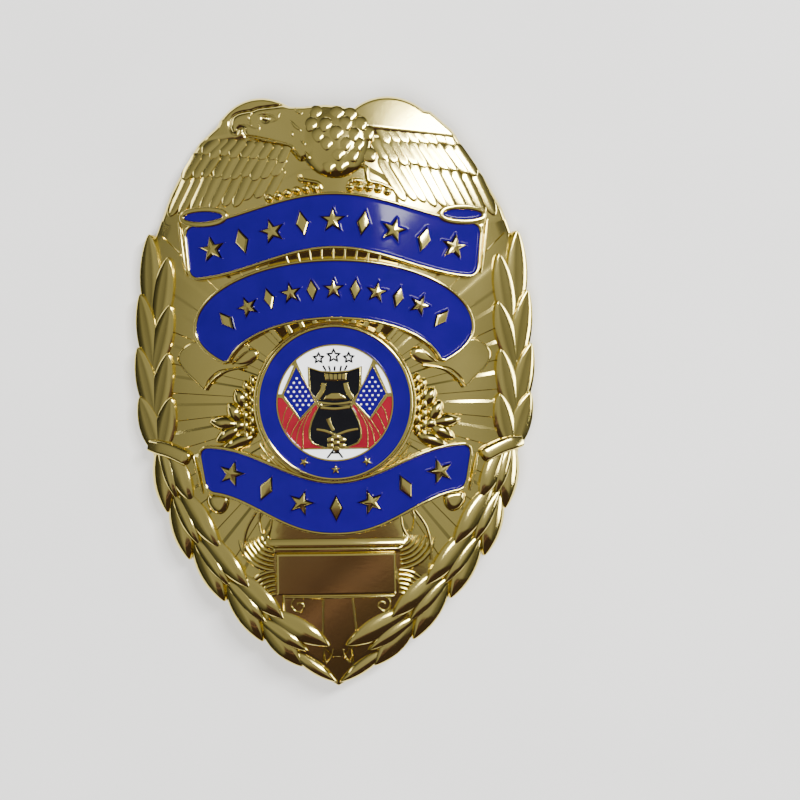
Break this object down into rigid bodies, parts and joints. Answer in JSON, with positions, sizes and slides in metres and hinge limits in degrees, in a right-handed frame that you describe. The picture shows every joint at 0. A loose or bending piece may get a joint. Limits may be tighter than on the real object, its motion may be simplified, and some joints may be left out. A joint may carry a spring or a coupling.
{
  "type": "shield badge with an eagle, ribbons and a round seal",
  "caption": "Curved gold-plated metal shield badge with an eagle crest, laurel wreath, blue enamel ribbons, a round enamelled seal and a brooch pin on its back.",
  "frame": {"origin": "on the table under the badge, at the middle of its length and width", "axes": "+X to the right and +Y to the top as the badge is read, +Z out of its face"},
  "size_m": [0.0574, 0.0836, 0.0083],
  "materials": {
    "gold_plate": "polished gold plating over a cast relief",
    "blue_enamel": "glossy hard enamel",
    "white_enamel": "glossy hard enamel",
    "red_enamel": "glossy hard enamel",
    "black_enamel": "glossy hard enamel",
    "pin_steel": "satin, lightly gold-washed"
  },
  "bodies": {
    "root": {"shield": "gold_plate", "top_ribbon_enamel": "blue_enamel", "left_curl_enamel": "blue_enamel", "right_curl_enamel": "blue_enamel", "middle_ribbon_enamel": "blue_enamel", "lower_ribbon_enamel": "blue_enamel", "seal_disc": "gold_plate", "seal_ring_enamel": "blue_enamel", "seal_sky_enamel": "white_enamel", "left_wedge_enamel": "white_enamel", "right_wedge_enamel": "white_enamel", "seal_base_enamel": "white_enamel", "left_canton_enamel": "blue_enamel", "right_canton_enamel": "blue_enamel", "left_stripes_enamel": "red_enamel", "right_stripes_enamel": "red_enamel", "yoke_enamel": "black_enamel", "bell_enamel": "black_enamel", "pin_clasp": "pin_steel"}
  },
  "joints": []
}
